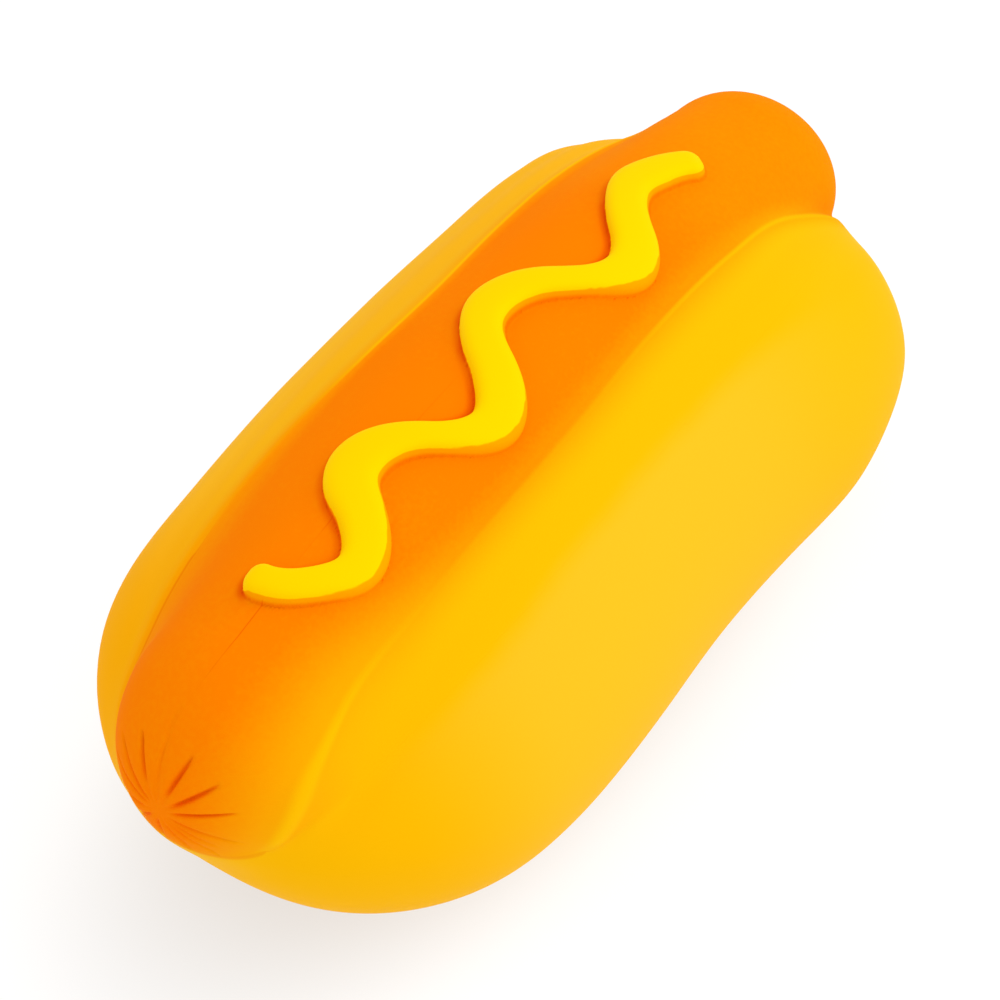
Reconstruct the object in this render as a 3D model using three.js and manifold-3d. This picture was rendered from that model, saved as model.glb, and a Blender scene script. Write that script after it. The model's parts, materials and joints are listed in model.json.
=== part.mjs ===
// Toy hot dog: a bun, a sausage and a zigzag of mustard moulded in one piece of soft rubber.
// Millimetres. +X runs along the sausage to its far end, +Y to the left half of the bun, +Z up.
// The origin lies on the floor, under the middle of the toy.

import * as THREE from 'three';
import { mergeVertices } from 'three/addons/utils/BufferGeometryUtils.js';
import Module from 'manifold-3d';

// Bun: one long pillow, closed round the sausage
const BUN_MIDDLE = -0.9;          // x of the point halfway along it
const BUN_HALF_LENGTH = 64;
const BUN_HALF_WIDTH = 32.8;
const BUN_WAIST = 0.04;           // share by which the middle is narrower than the ends
const BUN_CROWN = 53.3;           // height of the top before the arch is taken off
const BUN_SIDE = 22.7;            // height at which the middle is widest
const BUN_SIDE_RISE = { near: 10, far: 1 };                   // what the ends add to that height
const BUN_PLAN = { near: [3.5, 2.4], far: [6.2, 3.1] };       // powers that round the ends, from above
const BUN_PROFILE = { near: [3.0, 1.65], far: [1.65, 4.0] };  // the same, seen from the side
const BUN_SWELL_LEFT = [          // [x, share added to the half width] on the left
  [-62, -0.05], [-46, 0.042], [-28, 0.011], [-8, 0.024], [8, 0.01], [28, -0.02], [42, 0], [50, 0.025],
  [56, -0.01], [62, -0.05],
];
const BUN_SWELL_RIGHT = [
  [-62, -0.08], [-44, 0.006], [-30, 0.012], [-10, 0.006], [8, -0.019], [22, -0.016], [34, 0.002], [52, -0.011],
  [62, 0.04],
];
const BUN_SECTION_TOP = [3.0, 1.76];
const BUN_SECTION_FOOT = 2.3;
const FLAT_FOOT = 0.8;            // what is flattened off the underside, so that the toy stands

// Cut faces of the bun: a raised lip along the sausage and a soft crease below it
const LIP_LEFT = [                // [x, distance from the middle plane]
  [-65, 10.8], [-61, 12.7], [-55.4, 16.2], [-50, 16.9], [-38, 16.75], [-26, 15.9], [-9, 14.0],
  [4, 13.0], [20, 13.8], [32, 14.2], [43, 13.6], [50, 12.5], [60, 11.6],
];
const LIP_RIGHT = [
  [-65, 12.3], [-57, 13.0], [-50, 12.4], [-36, 12.9], [-12, 13.9], [-3, 13.9], [12, 13.2], [33, 12.5],
  [45, 12.4], [52, 13.4], [57, 14.4],
];
const LIP_HEIGHT = 0.6;
const LIP_WIDTH = 1.7;
const LIP_INNER_DROP = 3.0;       // how far the bun falls away under the sausage
const LIP_INNER_WIDTH = 3.5;
const CREASE_SHARE = 0.7;         // of the bun's half width
const CREASE_DEPTH = 0.7;
const CREASE_WIDTH = 2.0;

// Sausage: blunt and thick at the near end, domed at the slimmer far one
const SAUSAGE_MIDDLE = -9.8;      // x where it is thickest
const SAUSAGE_RADIUS = 17.8;
const SAUSAGE_TAPER = 3.7;        // loss of radius at the taper length from there
const TAPER_LENGTH = 56;
const SAUSAGE_NEAR_CENTRE = -52.8;
const SAUSAGE_FAR_CENTRE = 57.3;
const SAUSAGE_NEAR_CAP = { length: 16.1, power: 2.0 };
const SAUSAGE_FAR_CAP = { length: 11.6, power: 2.1 };
const DOME_START = 10;            // x from which the far end sags and grows
const DOME_LEAN = { y: 0.3, z: -1.0 };
const DOME_GAIN = 0.3;
const SAUSAGE_AXIS_HEIGHT = 40.5;
const ARCH_DROP = 3.4;            // how much lower the whole toy lies at the taper length
const ARCH_MIDDLE = 3.2;

// Twisted casing at the near end: creases that run to a knot, which leans off the axis
const KNOT_LEAN = { y: 2.2, z: 1.3 };
const PINCHES = 14;
const PINCH_DEPTH = 0.6;
const PINCH_START = 1.6;          // distance from the knot
const PINCH_END = 9.5;

// Mustard: a ridge laid in bends over the crown, rather flat on top
const MUSTARD_CORNERS = [
  [-46.0, 2.4], [-46.1, -1.1], [-36.8, -7.7], [-26.3, 6.0], [-12.2, -11.6],
  [2.1, 7.4], [18.1, -9.6], [30.0, 2.2], [37.7, 0.0], [40.1, -1.7],
];
const MUSTARD_WIDTHS = [          // [x, half width]
  [-46.2, 1.97], [-42.0, 1.74], [-34.0, 2.39], [-26.5, 3.31], [-18.3, 1.72], [-15.0, 1.83], [-8.0, 2.62],
  [-2.0, 2.42], [3.0, 2.88], [14.0, 1.72], [22.0, 2.55], [28.5, 2.44], [33.0, 2.83], [39.9, 2.12],
];
const MUSTARD_RUNS = { at: [-36.8, -12.2, 18.1], reach: 4.5, width: 0.8 };  // where it ran out to the right
const MUSTARD_HEIGHT = 2.15;
const MUSTARD_ROOT = 1.6;         // depth below the skin of the sausage
const MUSTARD_DRAFT = 0.35;       // what its foot is wider than its top, on each side
const MUSTARD_SQUARENESS = 3.6;
const SPINE_HEIGHT = 33;          // height of the line that the mustard is raised away from

// Fineness of the faces
const BUN_FACES = { around: 96, along: 32 };
const BUN_TOP_FACES = 2 / 3;      // share of the faces around that lie above the widest line
const SAUSAGE_FACES = { around: 84, along: 10, cap: 6 };
const MUSTARD_FACES = { along: 110, around: 12 };
const MERGE_DISTANCE = 1e-5;

const square = (value) => value * value;
const smoothStep = (share) => THREE.MathUtils.smoothstep(share, 0, 1);
const bump = (offset, width) => Math.exp(-square(offset / width));

// Slope of a smooth curve at one of its stations
function slopeAt(stations, i) {
  const here = stations[i];
  const [before, after] = [stations[i - 1] ?? here, stations[i + 1] ?? here];
  const [back, ahead] = [here[0] - before[0], after[0] - here[0]];
  const rise = (from, to, run) => (run > 0 ? (to[1] - from[1]) / run : 0);
  return (rise(before, here, back) * ahead + rise(here, after, ahead) * back) / (back + ahead)
    + (back * ahead === 0 ? rise(before, after, back + ahead) : 0);
}

// Value at x of a smooth curve through stations of [x, value], level beyond its ends
function through(stations, x) {
  const inside = THREE.MathUtils.clamp(x, stations[0][0], stations.at(-1)[0]);
  const next = Math.max(1, stations.findIndex((station) => station[0] >= inside));
  const [from, to] = [stations[next - 1], stations[next]];
  const length = to[0] - from[0];
  const share = (inside - from[0]) / length;
  const back = 1 - share;
  return from[1] * back * back * (1 + 2 * share) + to[1] * share * share * (1 + 2 * back)
    + length * share * back * (slopeAt(stations, next - 1) * back - slopeAt(stations, next) * share);
}

// How far the arch lowers the toy at a place along it
function archDrop(x) {
  return ARCH_DROP * square((x - ARCH_MIDDLE) / TAPER_LENGTH);
}

// Rounding of an end: 1 in the middle, 0 at the tip
function endRounding(share, [power, root]) {
  return Math.max(0, 1 - share ** power) ** (1 / root);
}

// Bun
function bunSlice(x, left) {
  const along = THREE.MathUtils.clamp((x - BUN_MIDDLE) / BUN_HALF_LENGTH, -1, 1);
  const share = Math.abs(along);
  const end = along < 0 ? 'near' : 'far';
  const waist = BUN_WAIST * square(1 - square(Math.min(share / 0.62, 1)));
  const side = BUN_SIDE + BUN_SIDE_RISE[end] * share * share;
  const swell = through(left ? BUN_SWELL_LEFT : BUN_SWELL_RIGHT, x);
  const profile = endRounding(share, BUN_PROFILE[end]);
  return {
    halfWidth: BUN_HALF_WIDTH * endRounding(share, BUN_PLAN[end]) * (1 - waist) * (1 + swell),
    side,
    rise: (BUN_CROWN - side) * profile,
    fall: side * profile,
    lip: through(left ? LIP_LEFT : LIP_RIGHT, x),
  };
}

function bunPoint(x, angle) {
  const across = Math.cos(angle);
  const slice = bunSlice(x, across > 0);
  const upward = Math.sin(angle);
  const [sidePower, topPower] = upward >= 0 ? BUN_SECTION_TOP : [BUN_SECTION_FOOT, BUN_SECTION_FOOT];
  const y = slice.halfWidth * Math.sign(across) * Math.abs(across) ** (2 / sidePower);
  const lift = Math.abs(upward) ** (2 / topPower);
  let z = upward >= 0 ? slice.side + slice.rise * lift : slice.side - slice.fall * lift;
  if (upward > 0) {
    const open = upward * square(slice.halfWidth / BUN_HALF_WIDTH);
    z += open * LIP_HEIGHT * bump(Math.abs(y) - slice.lip, LIP_WIDTH);
    z -= open * LIP_INNER_DROP * smoothStep((slice.lip - Math.abs(y)) / LIP_INNER_WIDTH);
    z -= open * CREASE_DEPTH * bump(Math.abs(y) - CREASE_SHARE * slice.halfWidth, CREASE_WIDTH);
  }
  return new THREE.Vector3(x, y, z - archDrop(x));
}

// Angle round the bun, with the faces closer together above the widest line than below it
function bunAngle(unit) {
  const share = (Math.atan2(unit.z, unit.y) / (2 * Math.PI) + 1) % 1;
  return share < BUN_TOP_FACES
    ? (Math.PI * share) / BUN_TOP_FACES
    : Math.PI * (1 + (share - BUN_TOP_FACES) / (1 - BUN_TOP_FACES));
}

function makeBun() {
  const ball = new THREE.SphereGeometry(1, BUN_FACES.around, BUN_FACES.along);
  ball.rotateZ(Math.PI / 2);
  const bun = weld(ball);
  moveVertices(bun, (unit) => {
    const x = BUN_MIDDLE + BUN_HALF_LENGTH * unit.x;
    const point = bunPoint(x, bunAngle(unit));
    const lowered = point.z - FLAT_FOOT * (1 - Math.min(1, point.z / BUN_SIDE));
    point.z = Math.max(0, lowered);
    return point;
  });
  return bun;
}

// Sausage
function sausageRadius(x) {
  const middle = THREE.MathUtils.clamp(x, SAUSAGE_NEAR_CENTRE, SAUSAGE_FAR_CENTRE);
  const radius = SAUSAGE_RADIUS - SAUSAGE_TAPER * square((middle - SAUSAGE_MIDDLE) / TAPER_LENGTH);
  const gain = DOME_GAIN * square(Math.max(0, middle / SAUSAGE_FAR_CENTRE));
  const { length, power } = x < middle ? SAUSAGE_NEAR_CAP : SAUSAGE_FAR_CAP;
  const past = Math.abs(x - middle) / length;
  return (radius + gain) * Math.max(0, 1 - past ** power) ** (1 / power);
}

// Middle of the sausage at x: the near end leans to the knot, the far one sags
function sausageCentre(x) {
  const near = square(Math.max(0, (SAUSAGE_NEAR_CENTRE - x) / SAUSAGE_NEAR_CAP.length));
  const tip = SAUSAGE_FAR_CENTRE + SAUSAGE_FAR_CAP.length;
  const far = square(THREE.MathUtils.clamp((x - DOME_START) / (tip - DOME_START), 0, 1));
  return {
    y: KNOT_LEAN.y * near + DOME_LEAN.y * far,
    z: SAUSAGE_AXIS_HEIGHT - archDrop(x) + KNOT_LEAN.z * near + DOME_LEAN.z * far,
  };
}

function sausageTop(x, y) {
  const centre = sausageCentre(x);
  return centre.z + Math.sqrt(square(sausageRadius(x)) - square(y - centre.y));
}

// Half outline, from the near tip to the far tip
function sausageOutline() {
  const stations = [];
  const turn = Math.PI / 2 / SAUSAGE_FACES.cap;
  for (let i = 0; i < SAUSAGE_FACES.cap; i += 1) {
    stations.push(SAUSAGE_NEAR_CENTRE - SAUSAGE_NEAR_CAP.length * Math.cos(i * turn));
  }
  for (let i = 0; i < SAUSAGE_FACES.along; i += 1) {
    const share = i / SAUSAGE_FACES.along;
    stations.push(THREE.MathUtils.lerp(SAUSAGE_NEAR_CENTRE, SAUSAGE_FAR_CENTRE, share));
  }
  for (let i = 0; i <= SAUSAGE_FACES.cap; i += 1) {
    stations.push(SAUSAGE_FAR_CENTRE + SAUSAGE_FAR_CAP.length * Math.sin(i * turn));
  }
  return stations.map((x) => new THREE.Vector2(Math.max(0, sausageRadius(x)), x));
}

// Depth of the creases in the twisted end, at a distance from the axis and an angle round it
function pinch(distance, angle) {
  const reach = THREE.MathUtils.smoothstep(distance, PINCH_START, PINCH_START + 1.5)
    * (1 - THREE.MathUtils.smoothstep(distance, 0.5 * PINCH_END, PINCH_END));
  const fold = Math.abs(Math.cos((angle * PINCHES) / 2)) ** 6;
  return PINCH_DEPTH * reach * fold;
}

function makeSausage() {
  const turned = new THREE.LatheGeometry(sausageOutline(), SAUSAGE_FACES.around);
  turned.rotateZ(-Math.PI / 2);
  const sausage = weld(turned);
  moveVertices(sausage, (point) => {
    const distance = Math.hypot(point.y, point.z);
    const centre = sausageCentre(point.x);
    const depth = point.x < SAUSAGE_NEAR_CENTRE ? pinch(distance, Math.atan2(point.z, point.y)) : 0;
    return new THREE.Vector3(point.x + depth, point.y + centre.y, point.z + centre.z);
  });
  return sausage;
}

// Mustard
function mustardRoute() {
  const corners = MUSTARD_CORNERS.map(([x, y]) => new THREE.Vector2(x, y));
  const joints = [corners[0]];
  for (let i = 1; i < corners.length - 2; i += 1) {
    joints.push(corners[i].clone().lerp(corners[i + 1], 0.5));
  }
  joints.push(corners.at(-1));
  const route = new THREE.CurvePath();
  for (let i = 1; i < joints.length; i += 1) {
    route.add(new THREE.QuadraticBezierCurve(joints[i - 1], corners[i], joints[i]));
  }
  return route;
}

// A sine wave widened towards a square one
function flattened(wave) {
  return Math.sign(wave) * Math.abs(wave) ** (2 / MUSTARD_SQUARENESS);
}

function runOut(x) {
  return MUSTARD_RUNS.width * MUSTARD_RUNS.at.reduce((sum, bend) => sum + bump(x - bend, MUSTARD_RUNS.reach), 0);
}

// Point at a height above the skin of the sausage, straight away from the spine
function raisedPoint(x, y, height) {
  const point = new THREE.Vector3(x, y, sausageTop(x, y));
  const away = new THREE.Vector3(0, y, point.z - SPINE_HEIGHT).normalize();
  return point.addScaledVector(away, height);
}

function makeMustard() {
  const route = mustardRoute();
  const length = route.getLength();
  const first = MUSTARD_WIDTHS[0][1];
  const last = MUSTARD_WIDTHS.at(-1)[1];
  const ridge = weld(new THREE.SphereGeometry(1, MUSTARD_FACES.around, MUSTARD_FACES.along));
  moveVertices(ridge, (unit) => {
    const share = Math.acos(THREE.MathUtils.clamp(-unit.y, -1, 1)) / Math.PI;
    const place = share * (length + first + last) - first;
    const onRoute = THREE.MathUtils.clamp(place, 0, length);
    const middle = route.getPoint(onRoute / length);
    const ahead = route.getTangent(onRoute / length);
    const halfWidth = through(MUSTARD_WIDTHS, middle.x);
    const past = (place - onRoute) / halfWidth;
    const slim = Math.sqrt(Math.max(0, 1 - past * past));
    const angle = Math.atan2(unit.z, -unit.x);
    const across = flattened(Math.cos(angle));
    const lift = flattened(Math.sin(angle));
    const draft = MUSTARD_DRAFT * (1 - Math.max(0, lift));
    const run = across < 0 ? runOut(middle.x) : 0;
    const aside = across * (halfWidth + draft + run) * slim;
    const beyond = past * (halfWidth + draft);
    const height = lift > 0 ? MUSTARD_HEIGHT * lift * Math.sqrt(slim) : MUSTARD_ROOT * lift;
    const x = middle.x + ahead.x * beyond - ahead.y * aside;
    const y = middle.y + ahead.y * beyond + ahead.x * aside;
    return raisedPoint(x, y, height);
  });
  return ridge;
}

// Closed meshes with shared vertices
function weld(geometry) {
  geometry.deleteAttribute('normal');
  geometry.deleteAttribute('uv');
  return mergeVertices(geometry, MERGE_DISTANCE);
}

function moveVertices(geometry, place) {
  const position = geometry.attributes.position;
  const point = new THREE.Vector3();
  for (let i = 0; i < position.count; i += 1) {
    const moved = place(point.fromBufferAttribute(position, i));
    position.setXYZ(i, moved.x, moved.y, moved.z);
  }
}

// Joining
const wasm = await Module();
wasm.setup();

function toSolid(geometry) {
  const vertProperties = new Float32Array(geometry.attributes.position.array);
  const triVerts = new Uint32Array(geometry.index.array);
  return new wasm.Manifold(new wasm.Mesh({ numProp: 3, vertProperties, triVerts }));
}

function toGeometry(solid) {
  const mesh = solid.getMesh();
  const geometry = new THREE.BufferGeometry();
  geometry.setAttribute('position', new THREE.BufferAttribute(mesh.vertProperties, 3));
  geometry.setIndex(new THREE.BufferAttribute(mesh.triVerts, 1));
  geometry.computeVertexNormals();
  return geometry;
}

function joinAll(pieces) {
  return pieces.map(toSolid).reduce((whole, piece) => whole.add(piece));
}

// Toy
const rubber = new THREE.MeshStandardMaterial({ color: 0xffb400, roughness: 0.55, metalness: 0 });
const hotDog = new THREE.Mesh(toGeometry(joinAll([makeBun(), makeSausage(), makeMustard()])), rubber);
hotDog.name = 'toy_hot_dog';

const toy = new THREE.Group();
toy.add(hotDog);

export default toy;
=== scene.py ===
# %% [markdown]
# # A rubber hot dog
#
# The real object is a toy: a bun, a sausage and a line of mustard moulded in one piece of soft rubber,
# with orange sprayed over the sausage and yellow paint on the mustard. This lesson makes its fine surface
# around the plain solid that the part already has. It starts by loading that solid as the frame, and keeps
# its box, because the finished toy has to fit it.

import json

import bmesh
import bpy
import numpy as np
from mathutils import Matrix, Vector

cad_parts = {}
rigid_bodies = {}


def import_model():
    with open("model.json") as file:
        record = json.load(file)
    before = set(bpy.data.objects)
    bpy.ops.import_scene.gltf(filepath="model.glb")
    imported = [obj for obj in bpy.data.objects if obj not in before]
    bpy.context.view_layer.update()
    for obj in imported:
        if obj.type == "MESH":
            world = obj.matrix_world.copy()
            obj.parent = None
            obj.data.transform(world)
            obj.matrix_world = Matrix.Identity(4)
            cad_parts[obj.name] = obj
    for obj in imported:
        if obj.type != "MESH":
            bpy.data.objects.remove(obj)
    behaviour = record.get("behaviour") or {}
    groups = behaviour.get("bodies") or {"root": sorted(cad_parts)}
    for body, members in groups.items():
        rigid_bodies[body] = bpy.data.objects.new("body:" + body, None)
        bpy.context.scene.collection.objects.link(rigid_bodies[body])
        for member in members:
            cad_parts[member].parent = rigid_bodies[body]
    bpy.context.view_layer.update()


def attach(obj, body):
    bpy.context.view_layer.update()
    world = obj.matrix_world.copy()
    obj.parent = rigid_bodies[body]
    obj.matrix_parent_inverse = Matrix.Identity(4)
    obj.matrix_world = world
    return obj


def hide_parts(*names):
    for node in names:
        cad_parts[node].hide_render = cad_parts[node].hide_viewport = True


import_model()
MM = 0.001

# %% [markdown]
# ## The toy in numbers
#
# A moulded toy has no straight edges to measure, so its form is written as a few named sizes and the curves
# between them. They are the sizes of the plain solid, in millimetres: +X runs along the sausage to its far
# end, +Y to the left half of the bun, +Z up. Values in pairs belong to the near end and to the far end.
# A list of pairs is a curve along the toy: x, then the value there. The inner drop is the one exception: in
# this finish the bun falls away inside the right lip alone, and by less than in the plain solid.

# %% Sizes of the bun
BUN_MIDDLE, BUN_HALF_LENGTH, BUN_HALF_WIDTH = -0.9, 64.0, 32.8
BUN_WAIST = 0.04
SWELL_LEFT = [
    (-62, -0.05), (-46, 0.042), (-28, 0.011), (-8, 0.024), (8, 0.01),
    (28, -0.02), (42, 0.0), (50, 0.025), (56, -0.01), (62, -0.05),
]
SWELL_RIGHT = [
    (-62, -0.08), (-44, 0.006), (-30, 0.012), (-10, 0.006), (8, -0.019),
    (22, -0.016), (34, 0.002), (52, -0.011), (62, 0.04),
]
BUN_CROWN, BUN_SIDE = 53.3, 22.7
BUN_SIDE_RISE = (10.0, 1.0)
BUN_PLAN = ((3.5, 2.4), (6.2, 3.1))
BUN_PROFILE = ((3.0, 1.65), (1.65, 4.0))
BUN_SECTION_TOP, BUN_SECTION_FOOT = (3.0, 1.76), 2.3
FLAT_FOOT = 0.8

LIP_LEFT = [
    (-65, 10.8), (-61, 12.7), (-55.4, 16.2), (-50, 16.9), (-38, 16.75), (-26, 15.9), (-9, 14.0),
    (4, 13.0), (20, 13.8), (32, 14.2), (43, 13.6), (50, 12.5), (60, 11.6),
]
LIP_RIGHT = [
    (-65, 12.3), (-57, 13.0), (-50, 12.4), (-36, 12.9), (-12, 13.9), (-3, 13.9),
    (12, 13.2), (33, 12.5), (45, 12.4), (52, 13.4), (57, 14.4),
]
LIP_TURN_HEIGHT, LIP_TURN_IN = 41.0, 0.03
LEFT_JOINT = (-58.0, -52.0)
LIP_HEIGHT, LIP_WIDTH = 0.6, 1.7
LIP_INNER_DROP, LIP_INNER_WIDTH = 1.5, 3.5
CREASE_SHARE, CREASE_DEPTH, CREASE_WIDTH = 0.7, 0.7, 2.0
print("bun, mm:", 2 * BUN_HALF_LENGTH, "long,", 2 * BUN_HALF_WIDTH, "wide")

# %% Sizes of the sausage
SAUSAGE_MIDDLE, SAUSAGE_RADIUS = -9.8, 17.8
SAUSAGE_TAPER, TAPER_LENGTH = 3.7, 56.0
SAUSAGE_CENTRES = (-52.8, 57.3)
SAUSAGE_CAPS, SAUSAGE_CAP_POWERS = (16.1, 11.6), (2.0, 2.1)
DOME_START, DOME_LEAN, DOME_GAIN = 10.0, (0.3, -1.0), 0.3
SAUSAGE_AXIS_HEIGHT = 40.5
ARCH_DROP, ARCH_MIDDLE = 3.4, 3.2
KNOT_LEAN = (2.2, 1.3)
FILLET_LEFT = [(-60, 6.0), (-20, 6.0), (20, 4.5), (46, 4.0), (58, 1.5)]
FILLET_RIGHT = [(-60, 3.0), (40, 3.0), (56, 1.2)]
print("sausage, mm:", 2 * SAUSAGE_RADIUS, "thick where it is thickest")

# %% [markdown]
# ## The camera
#
# The photograph looks down on the toy from its right front corner, from about half a metre, with a long
# lens. A camera in Blender looks along its own -Z, so the three directions below, to its right, up and
# back, are simply the columns of its matrix.

# %% Camera
CAMERA_TARGET = Vector((3.2, 0.0, 22.0)) * MM
CAMERA_DISTANCE = 505.6 * MM
CAMERA_AZIMUTH, CAMERA_ELEVATION, CAMERA_ROLL = np.radians((54.64, 48.82, -1.87))
CAMERA_LENS, CAMERA_SHIFT = 140.5, (-0.0204, 0.0080)


def make_camera():
    """A camera that looks at the target from the photograph's side."""
    azimuth, elevation = CAMERA_AZIMUTH, CAMERA_ELEVATION
    level = Vector((np.cos(azimuth), -np.sin(azimuth), 0.0))
    outward = Vector((-np.sin(azimuth), -np.cos(azimuth), 0.0))
    back = outward * np.cos(elevation) + Vector((0.0, 0.0, np.sin(elevation)))
    upward = back.cross(level)
    right = level * np.cos(CAMERA_ROLL) + upward * np.sin(CAMERA_ROLL)
    data = bpy.data.cameras.new("camera")
    data.lens = CAMERA_LENS
    data.sensor_width = 36.0
    data.shift_x, data.shift_y = CAMERA_SHIFT
    camera = bpy.data.objects.new("camera", data)
    turn = Matrix((right, back.cross(right), back)).transposed().to_4x4()
    camera.matrix_world = Matrix.Translation(CAMERA_TARGET + back * CAMERA_DISTANCE) @ turn
    bpy.context.scene.collection.objects.link(camera)
    return camera


bpy.context.scene.camera = make_camera()
print("camera at, mm:", [round(value / MM) for value in bpy.context.scene.camera.location])

# %% [markdown]
# ## Bun and sausage as forms that a point is inside or outside of
#
# The mould joins bun and sausage with soft hollows, and a union of two meshes would leave a hard edge there.
# So neither is built as a mesh of its own. Each is written as a question instead, "is this point inside?",
# and the skin of the whole toy is found later by walking outwards until the answer is no.

# %% Small helpers
def square(value):
    return value * value


def smooth_step(share):
    """0 to 1 with soft ends as the share goes from 0 to 1."""
    share = np.clip(share, 0.0, 1.0)
    return share * share * (3.0 - 2.0 * share)


def ramp(value, start, end):
    """0 at start, 1 at end, with soft ends."""
    return smooth_step((value - start) / (end - start))


def arch_drop(x):
    """How far the arch of the whole toy lowers it at x."""
    return ARCH_DROP * square((x - ARCH_MIDDLE) / TAPER_LENGTH)


def by_end(near, pair):
    """The near end's value of a pair, or the far end's."""
    return np.where(near, pair[0], pair[1])


def through(stations, x):
    """A soft curve through stations of (x, value), level beyond the first and the last."""
    places, values = np.array(stations, float).T
    slopes = np.gradient(values, places)
    x = np.clip(x, places[0], places[-1])
    start = np.clip(np.searchsorted(places, x) - 1, 0, len(places) - 2)
    length = places[start + 1] - places[start]
    share = (x - places[start]) / length
    back = 1.0 - share
    value = values[start] * square(back) * (1.0 + 2.0 * share)
    value += values[start + 1] * square(share) * (1.0 + 2.0 * back)
    return value + length * share * back * (slopes[start] * back - slopes[start + 1] * share)


print("left lip at the middle, mm:", through(LIP_LEFT, np.zeros(1)).round(2))

# %% Bun
def end_rounding(share, near, powers):
    """Factor that rounds the bun's ends, from 1 in the middle to 0 at the tip."""
    power, root = by_end(near, [end[0] for end in powers]), by_end(near, [end[1] for end in powers])
    return np.maximum(0.0, 1.0 - share**power) ** (1.0 / root)


def lip_offset(x, left):
    """How far the lip runs from the middle plane."""
    return np.where(left, through(LIP_LEFT, x), through(LIP_RIGHT, x))


def bun_slice(x, left):
    """Half width, height of the widest line, rise above it and fall below it at x."""
    along = (x - BUN_MIDDLE) / BUN_HALF_LENGTH
    share, near = np.clip(np.abs(along), 0.0, 1.0), along < 0
    waist = BUN_WAIST * square(1.0 - square(np.minimum(share / 0.62, 1.0)))
    swell = np.where(left, through(SWELL_LEFT, x), through(SWELL_RIGHT, x))
    side = BUN_SIDE + by_end(near, BUN_SIDE_RISE) * square(share)
    profile = end_rounding(share, near, BUN_PROFILE)
    half_width = BUN_HALF_WIDTH * end_rounding(share, near, BUN_PLAN) * (1.0 - waist) * (1.0 + swell)
    return half_width, side, (BUN_CROWN - side) * profile, side * profile


def bun_heights(x, y):
    """Half width of the bun at x, and the heights of its upper and lower skin at x, y."""
    out, left = np.abs(y), y > 0
    half_width, side, rise, fall = bun_slice(x, left)
    lip = lip_offset(x, left)
    share = np.clip(out / np.maximum(half_width, 1e-6), 0.0, 1.0)
    upward = np.sqrt(1.0 - share ** BUN_SECTION_TOP[0])
    top = side + rise * upward ** (2.0 / BUN_SECTION_TOP[1])
    relief = upward * square(half_width / BUN_HALF_WIDTH)
    inner_drop = LIP_INNER_DROP * ~left
    top += relief * LIP_HEIGHT * np.exp(-square((out - lip) / LIP_WIDTH))
    top -= relief * inner_drop * smooth_step((lip - out) / LIP_INNER_WIDTH)
    top -= relief * CREASE_DEPTH * np.exp(-square((out - CREASE_SHARE * half_width) / CREASE_WIDTH))
    downward = np.sqrt(1.0 - share**BUN_SECTION_FOOT)
    foot = side - fall * downward ** (2.0 / BUN_SECTION_FOOT) - arch_drop(x)
    foot = np.maximum(0.0, foot - FLAT_FOOT * (1.0 - np.minimum(1.0, foot / BUN_SIDE)))
    return half_width, top - arch_drop(x), foot


def in_bun(points):
    x, y, z = points.T
    half_width, top, foot = bun_heights(x, y)
    within = np.abs(x - BUN_MIDDLE) < BUN_HALF_LENGTH
    return within & (np.abs(y) < half_width) & (z < top) & (z > foot)


middle_slice = np.ravel(bun_heights(np.zeros(1), np.zeros(1)))
print("bun at the middle, mm: half width, top and foot", middle_slice.round(1))

# %% Sausage
def sausage_radius(x):
    middle = np.clip(x, *SAUSAGE_CENTRES)
    radius = SAUSAGE_RADIUS - SAUSAGE_TAPER * square((middle - SAUSAGE_MIDDLE) / TAPER_LENGTH)
    radius += DOME_GAIN * square(np.maximum(0.0, middle / SAUSAGE_CENTRES[1]))
    near = x < middle
    power = by_end(near, SAUSAGE_CAP_POWERS)
    past = np.abs(x - middle) / by_end(near, SAUSAGE_CAPS)
    return radius * np.maximum(0.0, 1.0 - past**power) ** (1.0 / power)


def sausage_centre(x):
    """Where the middle of the sausage lies at x. The near end leans to the knot, the far one sags."""
    near = square(np.maximum(0.0, (SAUSAGE_CENTRES[0] - x) / SAUSAGE_CAPS[0]))
    far = square(np.clip((x - DOME_START) / (SAUSAGE_CENTRES[1] + SAUSAGE_CAPS[1] - DOME_START), 0.0, 1.0))
    centre_y = KNOT_LEAN[0] * near + DOME_LEAN[0] * far
    return centre_y, SAUSAGE_AXIS_HEIGHT - arch_drop(x) + KNOT_LEAN[1] * near + DOME_LEAN[1] * far


def in_sausage(points):
    x, y, z = points.T
    centre_y, centre_z = sausage_centre(x)
    return square(y - centre_y) + square(z - centre_z) < square(sausage_radius(x))


KNOT_X = SAUSAGE_CENTRES[0] - SAUSAGE_CAPS[0]
KNOT = np.array([KNOT_X, *sausage_centre(np.float64(KNOT_X))])
print("knot of the casing, mm:", KNOT.round(1))

# %% [markdown]
# ## From the middle of the toy to its skin
#
# Every point of the skin is seen from a straight spine inside the toy, squarely along its length and in all
# directions from its two ends. Halving the distance again and again finds where a ray leaves the bun, and
# where it leaves the sausage. The larger of the two is the skin, and where they are nearly equal a little is
# added, which fills the joint with the same soft hollow that a mould has.

# %% Rays and skin
SPINE_ENDS, SPINE_HEIGHT = (-50.0, 50.0), 33.0
LONGEST_RAY, HALVINGS = 90.0, 34


def spine_of(points):
    """The point of the spine that each point belongs to, and the direction from there."""
    spine = np.zeros_like(points)
    spine[:, 0] = np.clip(points[:, 0], *SPINE_ENDS)
    spine[:, 2] = SPINE_HEIGHT
    ray = points - spine
    return spine, ray / np.linalg.norm(ray, axis=1)[:, None]


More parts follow.
